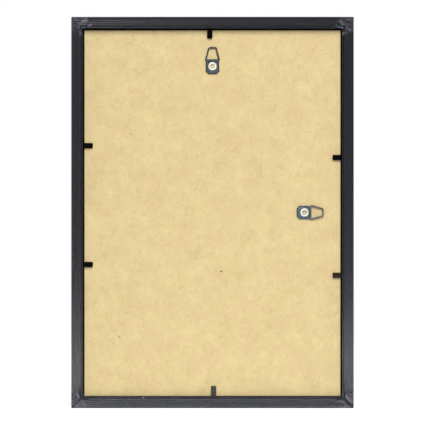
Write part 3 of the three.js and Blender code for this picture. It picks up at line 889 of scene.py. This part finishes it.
def pressed_hardboard():
    """Hardboard, wet-pressed from wood fibre and left raw: pale tan and matt, nearly even, with short strands
    of darker and paler fibre lying every way, a faint drift to pink, a few dark specks of bark, and browner
    sawn edges."""
    material, tree = new_material("hardboard_pressed_raw")
    sheet = add(tree, "TexCoord")
    place = sheet.outputs["Object"]
    fine = add(tree, "TexNoise", {"Vector": place, "Scale": per_mm(3.0), "Detail": 2, "Roughness": 0.5})
    clouds = add(tree, "TexNoise", {"Vector": place, "Scale": per_mm(15), "Detail": 2})
    shade = add(tree, "Math", {0: fine, 1: 0.4, 2: clouds}, operation="MULTIPLY_ADD")
    tone = add(tree, "MapRange", {"Value": shade, "From Min": 0.38, "From Max": 1.02})
    colour = add(tree, "Mix", {
        "Factor": tone, MIX_A: linear("#dcc790"), MIX_B: linear("#edd9a2"),
    }, data_type="RGBA")
    drift = add(tree, "TexNoise", {"Vector": place, "Scale": per_mm(13), "Detail": 3, "W": 3.0},
                noise_dimensions="4D")
    pink = add(tree, "MapRange", {"Value": drift, "From Min": 0.44, "From Max": 0.8})
    colour = add(tree, "Mix", {"Factor": pink, MIX_A: colour, MIX_B: linear("#e2c596")}, data_type="RGBA")
    for turn, strand, length, width, start, contrast in FIBRES:
        lying = add(tree, "Mapping", {
            "Vector": place,
            "Rotation": (0.0, np.radians(turn), 0.0),
            "Scale": (length * MM, width * MM, width * MM),
        }, vector_type="TEXTURE")
        fibre = add(tree, "TexNoise", {"Vector": lying, "Scale": 1.0, "Detail": 1, "Distortion": 0.6})
        shown = add(tree, "MapRange", {
            "Value": fibre, "From Min": start, "From Max": 0.8, "To Max": contrast,
        })
        colour = add(tree, "Mix", {"Factor": shown, MIX_A: colour, MIX_B: linear(strand)}, data_type="RGBA")
    bark = add(tree, "TexVoronoi", {"Vector": place, "Scale": per_mm(7), "Randomness": 1.0})
    chance = add(tree, "SeparateColor", {"Color": bark.outputs["Color"]})
    size = add(tree, "MapRange", {
        "Value": chance.outputs["Red"], "From Min": 0.6, "From Max": 1.0, "To Min": 0.0, "To Max": 0.1,
    })
    speck = add(tree, "Math", {0: size, 1: bark.outputs["Distance"]}, operation="SUBTRACT")
    dark = add(tree, "MapRange", {"Value": speck, "From Min": -0.02, "From Max": 0.04, "To Max": 0.35})
    colour = add(tree, "Mix", {"Factor": dark, MIX_A: colour, MIX_B: linear(BARK_COLOUR)}, data_type="RGBA")
    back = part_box("back_board")[0][1]
    for x, z, radius, darkness in BARK:
        away = add(tree, "VectorMath", {0: place, 1: (x * MM, back, z * MM)}, operation="DISTANCE")
        ragged = add(tree, "Math", {0: fine, 1: radius * MM, 2: away}, operation="MULTIPLY_ADD")
        flake = add(tree, "MapRange", {
            "Value": ragged, "From Min": radius * MM, "From Max": 1.5 * radius * MM,
            "To Min": darkness, "To Max": 0.0,
        })
        colour = add(tree, "Mix", {
            "Factor": flake, MIX_A: colour, MIX_B: linear(BARK_COLOUR),
        }, data_type="RGBA")
    facing = add(tree, "SeparateXYZ", {"Vector": sheet.outputs["Normal"]})
    flat = add(tree, "Math", {0: facing.outputs["Y"]}, operation="ABSOLUTE")
    colour = add(tree, "Mix", {"Factor": flat, MIX_A: linear("#8d6c3d"), MIX_B: colour}, data_type="RGBA")
    bump = add(tree, "Bump", {"Height": fine, "Distance": 0.05 * MM, "Strength": 0.3})
    bump = add(tree, "Bump", {"Height": fibre, "Distance": 0.03 * MM, "Strength": 0.35, "Normal": bump})
    board = add(tree, "BsdfPrincipled", {
        "Base Color": colour,
        "Roughness": 0.82,
        "Normal": bump,
        "Specular IOR Level": 0.2,
    })
    add(tree, "OutputMaterial", {"Surface": board})
    return material


def float_glass():
    """Float glass, drawn flat and polished by fire: clear, faintly green, with a sharp reflection."""
    material, tree = new_material("float_glass_clear")
    pane = add(tree, "BsdfPrincipled", {
        "Base Color": linear("#fdfefd"),
        "Roughness": 0.02,
        "IOR": 1.52,
        "Transmission Weight": 1.0,
    })
    passing = add(tree, "BsdfTransparent", {"Color": linear("#fafbfa")})
    ray = add(tree, "LightPath")
    both = add(tree, "MixShader", {0: ray.outputs["Is Shadow Ray"], 1: pane, 2: passing})
    add(tree, "OutputMaterial", {"Surface": both})
    return material


def insert_paper():
    """Insert sheet, bleached paper on a tan pulp back: matt, with a soft cloud of fibre and a fine tooth."""
    material, tree = new_material("paper_uncoated_tan_backed")
    place = add(tree, "TexCoord").outputs["Object"]
    middle = sum(corner[1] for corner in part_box("insert_sheet")) / 2
    depthwise = add(tree, "SeparateXYZ", {"Vector": place})
    to_front = add(tree, "Math", {0: depthwise.outputs["Y"], 1: middle}, operation="GREATER_THAN")
    clouds = add(tree, "TexNoise", {"Vector": place, "Scale": per_mm(5), "Detail": 4})
    tooth = add(tree, "TexNoise", {"Vector": place, "Scale": per_mm(0.5), "Detail": 2})
    white = add(tree, "Mix", {
        "Factor": clouds, MIX_A: linear("#e6e3da"), MIX_B: linear("#efece4"),
    }, data_type="RGBA")
    pulp = add(tree, "Mix", {
        "Factor": clouds, MIX_A: linear("#e0c386"), MIX_B: linear("#efd69c"),
    }, data_type="RGBA")
    colour = add(tree, "Mix", {"Factor": to_front, MIX_A: pulp, MIX_B: white}, data_type="RGBA")
    bump = add(tree, "Bump", {"Height": tooth, "Distance": 0.02 * MM, "Strength": 0.3})
    paper = add(tree, "BsdfPrincipled", {
        "Base Color": colour,
        "Roughness": 0.9,
        "Normal": bump,
        "Specular IOR Level": 0.2,
    })
    add(tree, "OutputMaterial", {"Surface": paper})
    return material


def dress(prefix, finish):
    """Gives a finish to every CAD node whose name starts with prefix."""
    for name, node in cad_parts.items():
        if name.startswith(prefix):
            for slot in node.material_slots:
                slot.material = finish


# Studio

WHITE = (1.0, 1.0, 1.0, 1.0)
# Light for matt surfaces from all round, and from the floor, which fades over these distances in metres
AMBIENT = 0.06
FLOOR_FILL = 0.55
FILL_START, FILL_END = 0.2, 0.8
# How white the floor looks near the frame and far from it, and the metres over which that changes
NEAR_GLOW, FAR_GLOW = 0.87, 0.98
GLOW_START, GLOW_END = 0.25, 1.2
# Half the floor's width in mm
FLOOR_HALF = 6000

# Lamps: place, height of the aim on the frame's middle line, width and height in metres, power in watts, and
# what they light of a surface: its colour, its sheen or both
MIDDLE = centre[1] * MM
LAMPS = {
    "key from above": ((0.35, -1.53, 1.45), MIDDLE, 1.0, 1.15, 36.0, "colour"),
    "front fill": ((-0.6, 1.5, 1.0), MIDDLE, 0.8, 0.8, 9.0, "both"),
    "low fill": ((0.0, -0.66, 0.03), 0.03, 0.5, 0.05, 0.4, "colour"),
    "low strip": ((0.0, -0.6, 0.008), 0.008, 1.8, 0.012, 4.35, "sheen"),
    "sheen at the upper left": ((-0.25, -1.0, 0.85), MIDDLE, 0.1, 0.7, 13.0, "sheen"),
    "sheen at the left": ((-0.18, -1.0, 0.22), MIDDLE, 0.1, 0.12, 0.08, "sheen"),
}


def seen_directly(tree):
    """Node that gives 1 for rays from the camera, off mirrors and through glass, and 0 off matt surfaces."""
    ray = add(tree, "LightPath").outputs
    seen = add(tree, "Math", {0: ray["Is Camera Ray"], 1: ray["Is Glossy Ray"]}, operation="MAXIMUM")
    return add(tree, "Math", {0: seen, 1: ray["Is Transmission Ray"]}, operation="MAXIMUM")


def studio_world():
    """White all round for eyes, mirrors and glass, and a softer even light for matt surfaces."""
    world = bpy.data.worlds.new("studio")
    bpy.context.scene.world = world
    world.use_nodes = True
    tree = world.node_tree
    tree.nodes.clear()
    strength = add(tree, "MapRange", {"Value": seen_directly(tree), "To Min": AMBIENT, "To Max": 1.0})
    light = add(tree, "Background", {"Color": WHITE, "Strength": strength})
    add(tree, "OutputWorld", {"Surface": light})


def studio_floor():
    """A level floor that shows white to eyes, mirrors and glass, lights matt surfaces from below, and keeps
    the shadow of the frame."""
    material, tree = new_material("floor_white_matt")
    seen = seen_directly(tree)
    place = add(tree, "TexCoord").outputs["Object"]
    away = add(tree, "VectorMath", {0: place}, operation="LENGTH")
    level = add(tree, "MapRange", {
        "Value": away, "From Min": GLOW_START, "From Max": GLOW_END,
        "To Min": NEAR_GLOW, "To Max": FAR_GLOW,
    }, interpolation_type="SMOOTHSTEP")
    fill = add(tree, "MapRange", {
        "Value": away, "From Min": FILL_START, "From Max": FILL_END,
        "To Min": FLOOR_FILL, "To Max": 0.0,
    }, interpolation_type="SMOOTHSTEP")
    glow = add(tree, "Mix", {"Factor": seen, "A": fill, "B": level})
    matt = add(tree, "BsdfPrincipled", {
        "Base Color": linear("#a6a6a7"),
        "Roughness": 0.9,
        "Specular IOR Level": 0.0,
        "Emission Color": WHITE,
        "Emission Strength": glow,
    })
    add(tree, "OutputMaterial", {"Surface": matt})
    corners = FLOOR_HALF * np.array([(-1, -1, 0), (1, -1, 0), (1, 1, 0), (-1, 1, 0)])
    floor = new_piece("floor", corners, np.array([[0, 1, 2, 3]]), material)


def area_light(name, place, aim, width, height, power, lights):
    """A soft rectangular lamp that isn't seen itself, turned to a height on the frame's middle line."""
    lamp = bpy.data.lights.new(name, "AREA")
    lamp.shape = "RECTANGLE"
    lamp.size, lamp.size_y = width, height
    lamp.energy = power
    light = bpy.data.objects.new(name, lamp)
    bpy.context.scene.collection.objects.link(light)
    light.location = place
    light.rotation_euler = (Vector((0.0, 0.0, aim)) - Vector(place)).to_track_quat("-Z", "Y").to_euler()
    light.visible_camera = False
    light.visible_glossy = lights != "colour"
    light.visible_diffuse = lights != "sheen"


def studio_camera():
    """Square view of the back, level with the frame's middle, as wide as the photograph at the back face."""
    camera = bpy.data.objects.new("camera", bpy.data.cameras.new("camera"))
    camera.data.sensor_width = SENSOR
    camera.data.lens = SENSOR * VIEW_DISTANCE / VIEW_WIDTH
    camera.location = (centre[0] * MM, back_y * MM - VIEW_DISTANCE, centre[1] * MM)
    camera.rotation_euler = (np.pi / 2, 0, 0)
    bpy.context.scene.collection.objects.link(camera)
    bpy.context.scene.camera = camera


# Build

# The die polishes the faces to a satin sheen and leaves the outer sides duller, with a broad soft sheen
moulding_skins = (
    skinned_polystyrene("polystyrene_extruded_satin_black", 0.245),
    # Inside the rebate: matt, and painted darker as painted shade
    raw_polystyrene_painted_shade(),
    skinned_polystyrene("polystyrene_extruded_eggshell_black", 0.5),
)
for side in SIDES:
    moulding_rail(side, moulding_skins)

# Black lacquer that takes the light away, worn brown on one point, painted grey on another as painted sheen
point_lacquer = lacquered_steel("soft_steel_black_lacquered", "#010101", "#040404")
wear_and_sheen_lacquer = {
    "right_lower": lacquered_steel("soft_steel_lacquer_worn", "#241d18", "#352d26"),
    "bottom": lacquered_steel("soft_steel_lacquer_painted_sheen", "#3f3e3b", "#565551"),
}
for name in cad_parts:
    if name.startswith("point_blade_"):
        label = name.removeprefix("point_blade_")
        bendable_point(label, wear_and_sheen_lacquer.get(label, point_lacquer))

size = hanger_sizes()
# Zinc with a blue passivation: a dull blue-grey sheet and a browner drawn wire, both paler on the side hanger
# The paler copies on the side hanger are painted light on the same zinc
strap_zinc = {
    "top": plated_metal("steel_sheet_zinc_blue_passivated", "#343a3f", "#474d52", 0.36, 4.0, 0.02),
    "side": plated_metal("steel_sheet_zinc_passivated_painted_light", "#3b444b", "#4f5a61", 0.36, 4.0, 0.02),
}
wire_zinc = {
    "top": plated_metal("steel_wire_zinc_drawn", "#312f38", "#45424c", 0.36, 3.0, 0.02),
    "side": plated_metal("steel_wire_zinc_drawn_painted_light", "#42424a", "#57575f", 0.36, 3.0, 0.02),
}
# Nickel over brass, barrel plated: pale, dull and faintly warm
eyelet_nickel = plated_metal("brass_eyelet_nickel_plated", "#b5b4a9", "#c3c2b8", 0.72, 2.0, 0.01)
for hanger in ("top", "side"):
    hanger_strap(hanger, strap_zinc[hanger], size)
    hanger_loop(hanger, wire_zinc[hanger], size)
    hanger_eyelet(hanger, eyelet_nickel, size)

# Rolled steel strip, cut and bent without plating: blue-black, dulled by oil
dress("v_nail_", plated_metal("steel_strip_rolled_oiled", "#14171b", "#262a30", 0.45, 2.0, 0.02))
dress("glazing", float_glass())
dress("insert_sheet", insert_paper())
dress("back_board", pressed_hardboard())

studio_world()
studio_floor()
for name, settings in LAMPS.items():
    area_light(name, *settings)
studio_camera()
bpy.context.scene.view_settings.view_transform = "Standard"
